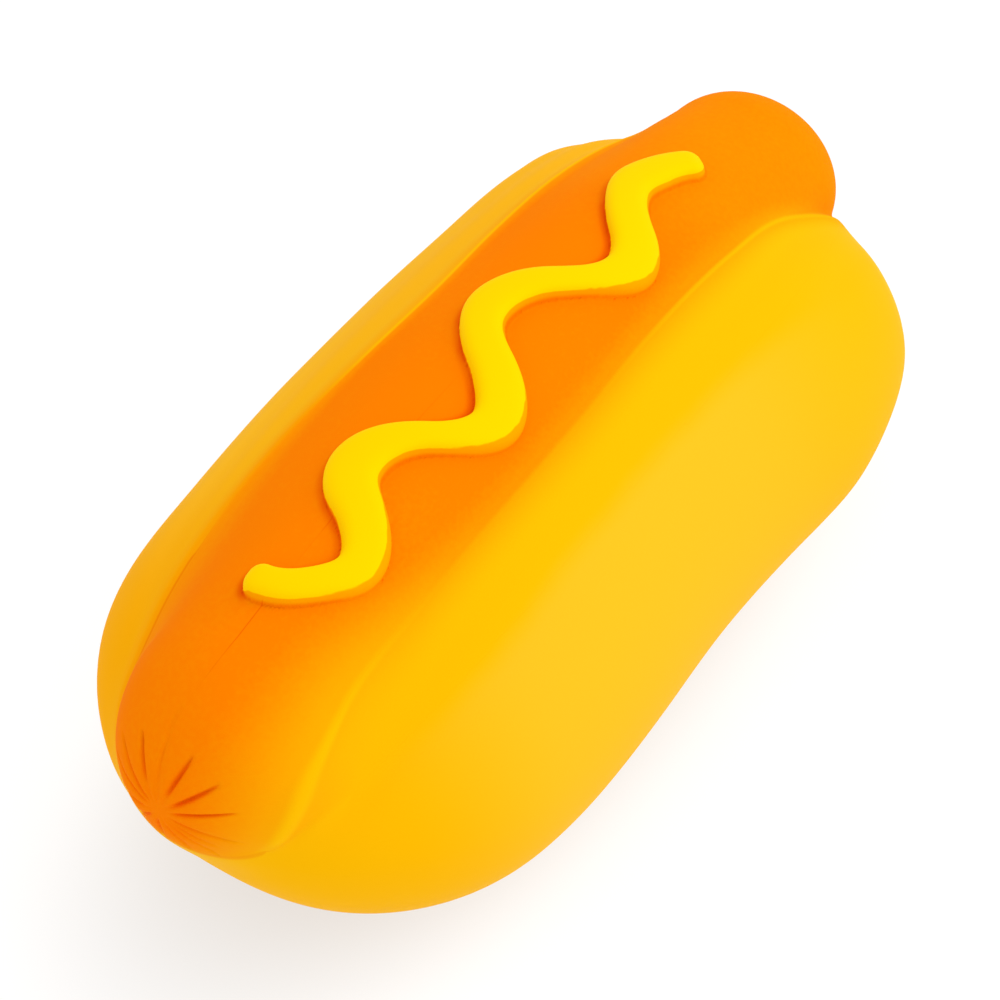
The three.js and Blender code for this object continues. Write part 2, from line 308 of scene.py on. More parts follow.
def reach(spine, ray, is_inside):
    """How far each ray runs before it leaves a form."""
    low, high = np.zeros(len(spine)), np.full(len(spine), LONGEST_RAY)
    for _ in range(HALVINGS):
        middle = (low + high) / 2.0
        inside = is_inside(spine + ray * middle[:, None])
        low, high = np.where(inside, middle, low), np.where(inside, high, middle)
    return (low + high) / 2.0


def skin_distance(spine, ray):
    """How far each ray runs to the skin of the whole toy."""
    bun, sausage = reach(spine, ray, in_bun), reach(spine, ray, in_sausage)
    x = spine[:, 0] + ray[:, 0] * bun
    fillet_left, fillet_right = through(FILLET_LEFT, x), through(FILLET_RIGHT, x)
    fillet = fillet_right + (fillet_left - fillet_right) * ramp(ray[:, 1], -0.3, 0.3)
    overlap = np.maximum(fillet - np.abs(bun - sausage), 0.0) / fillet
    return np.maximum(bun, sausage) + square(overlap) * fillet / 4.0


crown = skin_distance(np.array([[0.0, 0.0, SPINE_HEIGHT]]), np.array([[0.0, 0.0, 1.0]]))
print("crown above the table, mm:", (SPINE_HEIGHT + crown).round(2))

# %% [markdown]
# ## The twisted end of the casing
#
# A real sausage casing is twisted shut, and its skin gathers in creases that run to a small knot. The mould
# copies them as shallow cuts of uneven length, each tapered to both ends. Each one here has an angle round
# the knot, from +Y towards +Z, the distances from the knot at which it starts and ends, its depth and its
# half width.

# %% Creases
CREASES = [
    (13, 1.8, 9.8, 0.36, 0.20), (37, 1.8, 10.2, 0.50, 0.22), (64, 4.2, 10.2, 0.66, 0.26),
    (88, 4.4, 14.5, 0.20, 0.22), (111, 3.4, 10.4, 0.66, 0.30), (138, 2.6, 10.4, 0.70, 0.32),
    (164, 2.2, 10.4, 0.56, 0.25), (198, 2.0, 10.8, 0.34, 0.20), (216, 2.8, 9.0, 0.22, 0.18),
    (233, 2.8, 10.8, 0.34, 0.20), (256, 3.0, 9.8, 0.44, 0.24), (282, 2.6, 9.4, 0.50, 0.26),
    (308, 2.4, 9.8, 0.44, 0.24), (338, 2.8, 9.2, 0.50, 0.26),
]
PUFF_REACH, PUFF_HEIGHT = 9.0, 0.22


def crease_depth(points):
    """Depth of the creases at points near the knot."""
    away = points - KNOT
    distance = np.linalg.norm(away, axis=1)
    angle = np.arctan2(away[:, 2], away[:, 1])
    depth = np.zeros(len(points))
    for degrees, start, end, deepest, half_width in CREASES:
        turn = angle - np.radians(degrees)
        aside = distance * np.sin(turn)
        along = np.clip((distance - start) / (end - start), 0.0, 1.0)
        taper = np.sqrt(np.maximum(0.0, 4.0 * along * (1.0 - along)))
        wide = half_width * (0.45 + 0.55 * taper)
        cut = deepest * taper * np.exp(-square(aside / wide)) * (np.cos(turn) > 0)
        depth = np.maximum(depth, cut)
    return depth * (points[:, 0] < SAUSAGE_CENTRES[0])


def puffs(points):
    """The casing bulges a little between two creases."""
    away = points - KNOT
    distance = np.linalg.norm(away, axis=1)
    angle = np.degrees(np.arctan2(away[:, 2], away[:, 1])) % 360.0
    turns = np.array([crease[0] for crease in CREASES], float)
    gap = np.abs((angle[:, None] - turns[None] + 180.0) % 360.0 - 180.0).min(axis=1)
    fade = ramp(distance, 0.8, 3.0) * (1.0 - ramp(distance, 5.0, PUFF_REACH))
    return PUFF_HEIGHT * fade * smooth_step(gap / 12.0) * (points[:, 0] < SAUSAGE_CENTRES[0])


print("creases:", len(CREASES), "the deepest", max(crease[3] for crease in CREASES), "mm")

# %% [markdown]
# ## Beads along the lips
#
# The cut faces of the bun end in a lip, and on the lip lies a bead about a millimetre wide. Its height
# changes along the toy: it stands out most at the near end on the right, where it dives into the fold under
# the sausage. On the left the near end has a fine groove instead, which runs into the joint between bun and
# sausage. These are too fine to be part of the bun's own form, so they are added to the finished skin.

# %% Lip relief
BEAD_WIDTH, BEAD_WIDTH_AT_END = 0.7, 1.1
GROOVE_WIDTH, GROOVE_ASIDE = 0.6, 1.3
BEAD_RIGHT, BEAD_LEFT = (0.62, 0.24, 0.5), (0.0, 0.16, 0.34)
GROOVE_RIGHT, GROOVE_LEFT = 0.22, 0.34


def near_middle_far(x, heights):
    """A soft curve along the toy through a near, a middle and a far height."""
    near, middle, far = heights
    return middle + (near - middle) * (1.0 - ramp(x, -56.0, -34.0)) + (far - middle) * ramp(x, 8.0, 38.0)


def near_left(x):
    """1 at the near end of the left lip, which has a groove, 0 farther along."""
    return 1.0 - ramp(x, -42.0, -30.0)


def bun_over_sausage(points):
    """How much farther out the bun reaches than the sausage in the direction of each point."""
    spine, ray = spine_of(points)
    return reach(spine, ray, in_bun) - reach(spine, ray, in_sausage)


def beyond_lip(points):
    """Distance outwards from the lip. At the near end it turns in, on the right, or meets the joint."""
    x, y, z = points.T
    turn = LIP_TURN_IN * square(np.clip(LIP_TURN_HEIGHT - z, 0.0, 14.0)) * (1.0 - ramp(x, -58.0, -54.0))
    aside = np.abs(y) - lip_offset(x, y > 0) + turn * (y < 0)
    at_joint = np.nonzero((y > 0) & (x < LEFT_JOINT[1]))[0]
    if len(at_joint):
        share = 1.0 - ramp(x[at_joint], *LEFT_JOINT)
        aside[at_joint] += (bun_over_sausage(points[at_joint]) - aside[at_joint]) * share
    return aside


def lip_relief(points):
    """What the beads add to the skin and the grooves take from it."""
    x, y, z = points.T
    left, aside = y > 0, beyond_lip(points)
    shown = np.where(x < -50.0, ramp(z, 30.5, 33.5), ramp(z, 27.0, 31.0))
    shown = shown * np.where(left, ramp(x, -64.0, -58.0), 1.0)
    bead = np.where(left, near_middle_far(x, BEAD_LEFT), near_middle_far(x, BEAD_RIGHT))
    bead_width = BEAD_WIDTH + (BEAD_WIDTH_AT_END - BEAD_WIDTH) * (1.0 - ramp(x, -63.0, -54.0))
    shown = shown * (1.0 - ramp(x, 55.0, 60.0))
    groove_left = GROOVE_LEFT * near_left(x)
    groove = np.where(left, groove_left, GROOVE_RIGHT * (1.0 - ramp(x, -60.0, -54.0)))
    outside = np.exp(-square((aside - np.where(left, 0.0, GROOVE_ASIDE)) / GROOVE_WIDTH))
    return shown * (bead * np.exp(-square(aside / bead_width)) - groove * outside)


print("beads, mm high: right", BEAD_RIGHT, "left", BEAD_LEFT)

# %% [markdown]
# ## The body
#
# The body starts as a ball of quads with its poles at the two ends of the sausage, which puts one pole at
# the knot, so that the mesh already runs the way the creases do. Each vertex of the ball stands for one ray
# from the spine. Two columns of vertices are led along the two lips, ring by ring, because a bead a
# millimetre wide looks ragged where it wanders across the mesh.

# %% Body
BODY_SEGMENTS, BODY_RINGS = 288, 236
RINGS_NEAR, RINGS_FAR = 0.27, 0.84
LEFT_LIP_COLUMN, RIGHT_LIP_COLUMN, UPPER_COLUMNS = 58, 132, 190
LIP_ANGLES_LEFT, LIP_ANGLES_RIGHT = np.radians((18.0, 76.0)), np.radians((44.0, 76.0))


def points_of(mesh):
    flat = np.empty(3 * len(mesh.vertices))
    mesh.vertices.foreach_get("co", flat)
    return flat.reshape(-1, 3)


def move_points(mesh, points):
    mesh.vertices.foreach_set("co", points.astype(np.float32).ravel())
    mesh.update()


def to_mesh(bm, name):
    """Turns a bmesh into a mesh with its faces out."""
    bmesh.ops.recalc_face_normals(bm, faces=bm.faces)
    mesh = bpy.data.meshes.new(name)
    bm.to_mesh(mesh)
    bm.free()
    return mesh


def make_ball(name, segments, rings):
    bm = bmesh.new()
    bmesh.ops.create_uvsphere(bm, u_segments=segments, v_segments=rings, radius=1.0)
    return to_mesh(bm, name)


def rays_of(share, angle):
    """Spine point and ray for a share of the way from near to far and an angle round the spine."""
    along = np.clip((share - RINGS_NEAR) / (RINGS_FAR - RINGS_NEAR), 0.0, 1.0)
    tilt_near = np.clip(1.0 - share / RINGS_NEAR, 0.0, 1.0) * np.pi / 2.0
    tilt_far = np.clip((share - RINGS_FAR) / (1.0 - RINGS_FAR), 0.0, 1.0) * np.pi / 2.0
    level = np.cos(tilt_near + tilt_far)
    lengthwise = np.sin(tilt_far) - np.sin(tilt_near)
    ray = np.column_stack((lengthwise, level * np.cos(angle), level * np.sin(angle)))
    spine = np.zeros_like(ray)
    spine[:, 0] = SPINE_ENDS[0] + (SPINE_ENDS[1] - SPINE_ENDS[0]) * along
    spine[:, 2] = SPINE_HEIGHT
    to_knot = (KNOT - (SPINE_ENDS[0], 0.0, SPINE_HEIGHT)) / (SPINE_ENDS[0] - KNOT[0])
    ray[:, 1:] += square(np.sin(tilt_near))[:, None] * to_knot[1:]
    return spine, ray / np.linalg.norm(ray, axis=1)[:, None]


def lip_angle(share, left):
    """Angle round the spine at which each ring meets a lip, kept away from the ends' steep parts."""
    low, high = (np.full(len(share), angle) for angle in (LIP_ANGLES_LEFT if left else LIP_ANGLES_RIGHT))
    for _ in range(16):
        middle = (low + high) / 2.0
        spine, ray = rays_of(share, middle if left else np.pi - middle)
        outside = beyond_lip(spine + ray * skin_distance(spine, ray)[:, None]) > 0
        low, high = np.where(outside, middle, low), np.where(outside, high, middle)
    return low if left else np.pi - low


def body_rays(ball):
    """Spine point and ray for each vertex of a ball whose +Z pole is the near end."""
    share = np.arccos(np.clip(ball[:, 2], -1.0, 1.0)) / np.pi
    column = np.arctan2(ball[:, 0], ball[:, 1]) % (2.0 * np.pi) / (2.0 * np.pi) * BODY_SEGMENTS
    rings = np.linspace(0.0, 1.0, BODY_RINGS + 1)
    left, right = (np.interp(share, rings, lip_angle(rings, side)) for side in (True, False))
    marks = (0, LEFT_LIP_COLUMN, RIGHT_LIP_COLUMN, UPPER_COLUMNS, BODY_SEGMENTS)
    angles = (np.zeros_like(share), left, right, np.full_like(share, np.pi), np.full_like(share, 2.0 * np.pi))
    angle = np.zeros_like(share)
    for first, last, start, end in zip(marks, marks[1:], angles, angles[1:]):
        between = (column >= first) & (column <= last)
        angle = np.where(between, start + (end - start) * (column - first) / (last - first), angle)
    return rays_of(share, angle)


def make_body():
    mesh = make_ball("body", BODY_SEGMENTS, BODY_RINGS)
    spine, ray = body_rays(points_of(mesh))
    skin = spine + ray * skin_distance(spine, ray)[:, None]
    relief = lip_relief(skin) + puffs(skin) - crease_depth(skin)
    move_points(mesh, (skin + ray * relief[:, None]) * MM)
    return mesh


body_mesh = make_body()
print("body:", len(body_mesh.vertices), "vertices")

# %% [markdown]
# ## The mustard
#
# On the toy the mustard is a raised ridge with a rather flat top and steep sides, thin on the legs that run
# one way and wide on the others, as a line squeezed by hand is. Its route is a zigzag whose corners are
# rounded: between the middles of two legs it is one quadratic curve. The ridge starts as a ball too: its
# rings are laid along the route, each with its own width, and every ring is a squarish loop whose lower half
# lies under the skin.

# %% Route of the mustard
MUSTARD_CORNERS = [
    (-46.0, 2.4), (-46.1, -1.1), (-36.8, -7.7), (-26.3, 6.0), (-12.2, -11.6),
    (2.1, 7.4), (18.1, -9.6), (30.0, 2.2), (37.7, 0.0), (40.1, -1.7),
]
MUSTARD_WIDTHS = [
    (-46.2, 1.97), (-42.0, 1.74), (-34.0, 2.39), (-26.5, 3.31), (-18.3, 1.72), (-15.0, 1.83), (-8.0, 2.62),
    (-2.0, 2.42), (3.0, 2.88), (14.0, 1.72), (22.0, 2.55), (28.5, 2.44), (33.0, 2.83), (39.9, 2.12),
]
MUSTARD_RUNS, MUSTARD_RUN_REACH, MUSTARD_RUN_WIDTH = (-36.8, -12.2, 18.1), 4.5, 0.8
MUSTARD_HEIGHT, MUSTARD_ROOT = 2.15, 1.6
MUSTARD_DRAFT = 0.35
MUSTARD_SQUARENESS = 3.6
ROUTE_STEPS = 40


def rounded_route(corners, steps):
    corners = np.array(corners, float)
    middles = (corners[1:-2] + corners[2:-1]) / 2.0
    joints = np.vstack((corners[0], middles, corners[-1]))
    share = (np.arange(steps) / steps)[:, None]
    curves = [
        start * square(1.0 - share) + corner * 2.0 * share * (1.0 - share) + end * square(share)
        for start, corner, end in zip(joints, corners[1:-1], joints[1:])
    ]
    return np.vstack((*curves, corners[-1:]))


plan = rounded_route(MUSTARD_CORNERS, ROUTE_STEPS)
mustard_route = np.column_stack((plan, through(MUSTARD_WIDTHS, plan[:, 0])))
route_length = np.r_[0.0, np.cumsum(np.linalg.norm(np.diff(plan, axis=0), axis=1))]
print("mustard line, mm:", route_length[-1].round(1))

# %% Ridge of the mustard
RIDGE_SEGMENTS, RIDGE_RINGS = 40, 320


def skin_point(x, y):
    """The skin of the sausage above x, y, and the ray that meets it."""
    rough_height = SAUSAGE_AXIS_HEIGHT - arch_drop(x) + np.sqrt(square(sausage_radius(x)) - square(y))
    spine, ray = spine_of(np.column_stack((x, y, rough_height)))
    return spine + ray * skin_distance(spine, ray)[:, None], ray


def run_out(x):
    """How much wider the ridge is on the right at x, where it ran out a little at its bends."""
    return MUSTARD_RUN_WIDTH * sum(np.exp(-square((x - bend) / MUSTARD_RUN_REACH)) for bend in MUSTARD_RUNS)


def flattened(wave):
    """Widens a sine wave towards a square one."""
    return np.sign(wave) * np.abs(wave) ** (2.0 / MUSTARD_SQUARENESS)


def make_ridge():
    mesh = make_ball("ridge", RIDGE_SEGMENTS, RIDGE_RINGS)
    ball = points_of(mesh)
    ends = mustard_route[0, 2], mustard_route[-1, 2]
    share = np.arccos(np.clip(ball[:, 2], -1.0, 1.0)) / np.pi
    place = -ends[0] + share * (route_length[-1] + sum(ends))
    on_route = np.clip(place, 0.0, route_length[-1])
    x, y, half_width = (np.interp(on_route, route_length, column) for column in mustard_route.T)
    heading = np.gradient(plan, route_length, axis=0)
    along_x, along_y = (np.interp(on_route, route_length, column) for column in heading.T)
    size = np.hypot(along_x, along_y)
    along_x, along_y = along_x / size, along_y / size
    past_end = (place - on_route) / half_width
    slim = np.sqrt(np.maximum(0.0, 1.0 - square(past_end)))
    around = np.arctan2(ball[:, 0], ball[:, 1])
    across, lift = flattened(np.cos(around)), flattened(np.sin(around))
    draft = MUSTARD_DRAFT * (1.0 - np.clip(lift, 0.0, 1.0))
    aside = across * (half_width + draft + run_out(x) * (across < 0)) * slim
    beyond = past_end * (half_width + draft)
    skin, ray = skin_point(x + along_x * beyond - along_y * aside, y + along_y * beyond + along_x * aside)
    height = np.where(lift > 0, MUSTARD_HEIGHT * lift * np.sqrt(slim), MUSTARD_ROOT * lift)
    move_points(mesh, (skin + ray * height[:, None]) * MM)
    return mesh


ridge_mesh = make_ridge()
print("mustard ridge:", len(ridge_mesh.vertices), "vertices")

# %% [markdown]
# ## One moulding
#
# Body and ridge are one piece of rubber, so a Boolean modifier joins them into one closed mesh and drops
# what lies inside. Its seam is a hard corner. On the toy it is tight but not sharp, so the vertices along
# the foot of the ridge are relaxed a few times, which leaves a small hollow.

# %% Join and relax
FOOT_REACH, FOOT_ROUNDS = 0.45, 4
FOOT_LIFT = 0.5
FARTHEST = 6.0


def new_object(name, mesh):
    made = bpy.data.objects.new(name, mesh)
    bpy.context.scene.collection.objects.link(made)
    return made


def join_meshes(body, ridge):
    """One closed mesh of the two, without what lies inside."""
    whole, tool = new_object("whole", body), new_object("tool", ridge)
    union = whole.modifiers.new("union", "BOOLEAN")
    union.operation, union.solver, union.object = "UNION", "EXACT", tool
    evaluated = whole.evaluated_get(bpy.context.evaluated_depsgraph_get())
    joined = bpy.data.meshes.new_from_object(evaluated)
    for spent in (whole, tool):
        bpy.data.objects.remove(spent)
    return joined


def raised_over_skin(points):
    """How far points stand above the plain skin, or lie below it, in mm, and the skin under them."""
    spine, ray = spine_of(points)
    height = np.linalg.norm(points - spine, axis=1) - skin_distance(spine, ray)
    return height, points - ray * height[:, None]


def beyond_ridge(skin):
    """Distance on the skin from the side of the mustard, negative inside it, and how far to its left."""
    distance, leftward = np.full(len(skin), FARTHEST), np.zeros(len(skin))
    near = np.nonzero((skin[:, 2] > 40.0) & (np.abs(skin[:, 1]) < 15.0))[0]
    for some in np.array_split(near, 40):
        away = skin[some, None, :2] - plan[None]
        gap = np.linalg.norm(away, axis=2)
        beyond = gap - mustard_route[None, :, 2]
        nearest = beyond.argmin(axis=1)
        rows = np.arange(len(some))
        distance[some] = np.minimum(beyond[rows, nearest] - MUSTARD_DRAFT, FARTHEST)
        leftward[some] = away[rows, nearest, 1] / np.maximum(gap[rows, nearest], 0.1)
    return distance, leftward


def relax_foot(mesh):
    """Smooths the corner at the foot of the ridge, and counts its vertices."""
    bm = bmesh.new()
    bm.from_mesh(mesh)
    bmesh.ops.remove_doubles(bm, verts=bm.verts, dist=0.02 * MM)
    bm.verts.ensure_lookup_table()
    height, skin = raised_over_skin(np.array([vertex.co for vertex in bm.verts]) / MM)
    beyond, _ = beyond_ridge(skin)
    foot = [bm.verts[i] for i in np.nonzero((np.abs(beyond) < FOOT_REACH) & (height < FOOT_LIFT))[0]]
    for _ in range(FOOT_ROUNDS):
        bmesh.ops.smooth_vert(bm, verts=foot, factor=0.5, use_axis_x=True, use_axis_y=True, use_axis_z=True)
    bm.to_mesh(mesh)
    bm.free()
    return len(foot)


toy_mesh = join_meshes(body_mesh, ridge_mesh)
print("joined:", len(toy_mesh.polygons), "faces;", relax_foot(toy_mesh), "vertices relaxed at the foot")
toy = new_object("rubber_hot_dog", toy_mesh)
for polygon in toy_mesh.polygons:
    polygon.use_smooth = True

# %% [markdown]
# ## Where the paint lies
#
# Orange was sprayed along the sausage, and yellow brushed on the ridge. On the right the spray fades over
# the lip, widely at the near end. On the left most of it stops at the lip. Paint follows the form, so its
# places are worked out from the form and kept on the vertices, mostly as plain distances in millimetres,
# with a sign that tells the two sides apart: such a distance stays exact between two vertices, and the
# shader can draw a fine line from it.

# %% Paint places
SPRAY_RIGHT = ((-12.0, 5.5), (-4.0, 4.0), (-2.2, 2.4))
SPRAY_LEFT_START, SPRAY_LEFT_AT_LIP, SPRAY_LEFT_OUTSIDE = (-6.0, -1.6), 0.75, (0.36, 0.30)
SPRAY_LEFT_FADE = 0.75
SPRAY_LOW_NEAR = (27.3, 0.04)
# The paler line along the beads is partly rubbed-off paint and partly a painted highlight.
WEAR_AND_HIGHLIGHT_RIGHT_NEAR, WEAR_AND_HIGHLIGHT_MIDDLE, WEAR_AND_HIGHLIGHT_FAR = 0.65, 0.12, (0.88, 0.45)
HAIR_STRENGTH = [
    (-67, 0.1), (-60, 0.12), (-56, 0.5), (-47, 0.5), (-43.5, 0.1), (-40, 0.4),
    (-36, 0.4), (-31, 0.06), (-18, 0.2), (-12, 0.15), (-6, 0.03),
]
PARTING_SLOPE, PARTING_ZERO = -0.025, -15.0


def spray(skin):
    """How much orange the skin caught, 0 to 1."""
    x, y, z = skin.T
    aside = beyond_lip(skin)
    near, far = 1.0 - ramp(x, -60.0, -28.0), ramp(x, 26.0, 50.0)
    start, end = (
        middle + (close - middle) * near + (distant - middle) * far
        for close, middle, distant in zip(*SPRAY_RIGHT)
    )
    start_left = left_stop(x)[0]
    fade_left = SPRAY_LEFT_FADE * (1.0 - 0.5 * (1.0 - ramp(x, -46.0, -20.0)))
    on_left = 1.0 - (1.0 - SPRAY_LEFT_AT_LIP) * ramp(aside, start_left, 0.0)
    on_left *= 1.0 - fade_left * ramp(aside, 0.4, 2.8)
    amount = np.where(y > 0, on_left, 1.0 - ramp(aside, start, end))
    out = np.abs(y)
    front_left = (1.0 - ramp(x, -57.0, -50.0)) * (1.0 - ramp(out, 9.0, 18.0))
    front_right = (x < -50.0) & (out < 16.0)
    amount *= 1.0 - np.where(y > 0, front_left, front_right) * (1.0 - ramp(above_fold(skin), -0.9, 0.9))
    return amount * np.where(x > 50.0, ramp(z, 24.0, 31.0), ramp(z, 21.0, 27.0))


def left_stop(x):
    """Where the spray starts to thin out before the left lip, and how much of it lies outside the lip."""
    near_share = 1.0 - ramp(x, -46.0, -6.0)
    return [far + (near - far) * near_share for near, far in (SPRAY_LEFT_START, SPRAY_LEFT_OUTSIDE)]


def above_fold(skin):
    """Height above the fold between the sausage's near end and the bun's front."""
    return skin[:, 2] - SPRAY_LOW_NEAR[0] - SPRAY_LOW_NEAR[1] * square(skin[:, 1])


def beyond_crease(skin):
    """Distance outwards from the crease below the lip."""
    x, y, _ = skin.T
    return np.abs(y) - CREASE_SHARE * bun_slice(x, y > 0)[0]


def beyond_parting(skin):
    """Distance to the left of the parting line, which follows the crown of the sausage to the knot."""
    x, y, _ = skin.T
    return y - PARTING_SLOPE * (x - PARTING_ZERO) - sausage_centre(x)[0] * (x < 0)


def lip_wear_and_highlight(x, left):
    """How much of the spray is taken off the bead on the lip: partly rubbed off, partly a painted highlight
    along the crest.
    """
    near = WEAR_AND_HIGHLIGHT_RIGHT_NEAR * (1.0 - ramp(x, -63.0, -50.0)) * ~left
    far_left, far_right = WEAR_AND_HIGHLIGHT_FAR[0] * ramp(x, -24.0, -4.0), WEAR_AND_HIGHLIGHT_FAR[1] * ramp(x, 0.0, 26.0)
    return near + WEAR_AND_HIGHLIGHT_MIDDLE + np.where(left, far_left, far_right)


def shown_where(distance, mask):
    """A signed distance that is far from 0 where the mask is 0."""
    return distance + np.sign(distance) * 2.0 * FARTHEST * (1.0 - mask)


def keep(mesh, name, values):
    """Keeps a value on each vertex, for the shader."""
    mesh.attributes.new(name, "FLOAT", "POINT").data.foreach_set("value", values.astype(np.float32))
    print(f"  {name}: {values.min():.2f} to {values.max():.2f}")


points = points_of(toy_mesh) / MM
height, skin = raised_over_skin(points)
above = ramp(skin[:, 2], 26.0, 30.0)
beyond, leftward = beyond_ridge(skin)
keep(toy_mesh, "raised", height)
keep(toy_mesh, "beyond_mustard", beyond)
keep(toy_mesh, "left_of_mustard", leftward)
keep(toy_mesh, "spray", spray(skin))
lip, x, left = beyond_lip(skin), skin[:, 0], skin[:, 1] > 0
keep(toy_mesh, "beyond_lip", shown_where(lip, above))
keep(toy_mesh, "beyond_groove", shown_where(lip, near_left(x) * above * left))
keep(toy_mesh, "lip_wear_and_highlight", lip_wear_and_highlight(x, left))
keep(toy_mesh, "lip_stop", left * (1.0 - left_stop(x)[1] / SPRAY_LEFT_AT_LIP))
keep(toy_mesh, "beyond_crease", beyond_crease(skin))
keep(toy_mesh, "crease", crease_depth(skin))
keep(toy_mesh, "parting", shown_where(beyond_parting(skin), above))
keep(toy_mesh, "hair", through(HAIR_STRENGTH, x))
at_fold = (1.0 - ramp(x, -61.0, -57.0)) * (1.0 - ramp(np.abs(skin[:, 1]), 9.0, 12.5))
keep(toy_mesh, "above_fold", shown_where(above_fold(skin), at_fold))
keep(toy_mesh, "along", x)

# %% [markdown]
# ## Shader sums in Python
#
# The finish needs some arithmetic, and a chain of Math nodes is hard to read. This small class wraps one
# socket of a material, so that a sum such as 1 - mask adds its Math node by itself. Every other kind of
# node comes from its one method.

# %% Wire
class Wire:
    """A socket of a material's node tree that can be used in Python sums."""

    def __init__(self, tree, socket=None):
        self.tree, self.socket = tree, socket

    def node(self, kind, settings, inputs, output=0):
        """Adds a node: its type, its settings, then the values or links of its sockets."""
        made = self.tree.nodes.new(kind)
        for name, value in settings.items():
            setattr(made, name, value)
        for name, value in inputs.items():
            if isinstance(value, Wire):
                self.tree.links.new(value.socket, made.inputs[name])
            else:
                made.inputs[name].default_value = value
        return Wire(self.tree, made.outputs[output] if made.outputs else None)

    def math(self, operation, *values):
        return self.node("ShaderNodeMath", {"operation": operation}, dict(enumerate(values)))

    def __add__(self, other):
        return self.math("ADD", self, other)

    def __sub__(self, other):
        return self.math("SUBTRACT", self, other)

    def __rsub__(self, other):
        return self.math("SUBTRACT", other, self)

    def __mul__(self, other):
        return self.math("MULTIPLY", self, other)

    __radd__, __rmul__ = __add__, __mul__

    def __abs__(self):
        return self.math("ABSOLUTE", self)

    def clamped(self):
        return self.node("ShaderNodeClamp", {}, {"Value": self})

    def step(self, start, end):
        """0 at start and 1 at end, with soft ends."""
        limits = {"Value": self, "From Min": start, "From Max": end}
        return self.node("ShaderNodeMapRange", {"interpolation_type": "SMOOTHSTEP"}, limits)

    def line(self, full, gone):
        """1 where the value is near 0, 0 from gone on either side."""
        return 1.0 - abs(self).step(full, gone)

    def mix(self, colour, mask):
        """This colour where the mask is 0, the other where it is 1."""
        return self.node("ShaderNodeMix", {"data_type": "RGBA"}, {0: mask, 6: self, 7: colour}, output=2)

    def kept(self, name):
        return self.node("ShaderNodeAttribute", {"attribute_name": name}, {}, output=2)

    def noise(self, place, scale, detail):
        """Noise from about -0.5 to 0.5."""
        made = self.node("ShaderNodeTexNoise", {}, {"Vector": place, "Scale": scale, "Detail": detail})
        return made - 0.5


print("Wire is ready")

# %% [markdown]
# ## Matt painted rubber
#
# The rubber is dyed a warm yellow. Outside the creases it is drawn paler, which is a painted sheen. Orange
# spray covers the sausage and thins out towards the lips. Along their beads it is lighter again, partly where
# the paint was rubbed off and partly as a painted highlight. A brush left opaque yellow on the top of the
# ridge and a thin film on its sides. The knot's creases, the grooves and the fold are darkened with painted
# shade, and the foot of the ridge with painted shade and some gathered paint. Beside the ridge on its left
# lies a painted shadow, and the parting line of the mould shows as a dark hair in places. The material itself
# is matt, with hardly any sheen.
# Limits in pairs, such as (-1.8, 1.4), are where a soft step starts and ends, in millimetres.

# %% Finish
# The paler rubber colour below is not a dye: it is a painted sheen on the outer face of the bun.
PAINTED_SHEEN_RUBBER = (0.93, 0.490, 0.014, 1.0)
FACE_RUBBER = (0.93, 0.465, 0.001, 1.0)
ORANGE_PAINT = (0.93, 0.205, 0.0, 1.0)
# The deep orange below is the colour of painted shade and painted shadow, and of the parting hair.
SHADE_AND_HAIR_ORANGE = (0.80, 0.085, 0.0, 1.0)
YELLOW_PAINT = (1.0, 0.62, 0.0, 1.0)
SHEEN_TINT, SHEEN = (1.0, 0.62, 0.0, 1.0), 0.01
# Where the painted sheen starts and ends, across the crease and along the toy.
PAINTED_SHEEN_EDGE, PAINTED_SHEEN_START, PAINTED_SHEEN_END = (-1.8, 1.4), (-54.0, -30.0), (12.0, 50.0)
MIST_STRENGTH, CLOUD_STRENGTH, FAR_THINNING = 0.22, 0.25, 0.15
PAINT_EDGE, PAINT_EDGE_LEFT, PAINT_EDGE_HALF = 1.3, 0.45, 0.08
FILM_STRENGTH = 0.36
# Strengths of the painted shade in the creases, at the foot of the ridge (with some gathered paint), in the
# grooves and in the fold.
CREASE_SHADE, FOOT_SHADE_AND_PAINT, GROOVE_SHADE, FOLD_SHADE = 0.70, 0.22, 0.42, 0.25
BUMP_STRENGTH, BUMP_HEIGHT = 0.12, 0.12 * MM


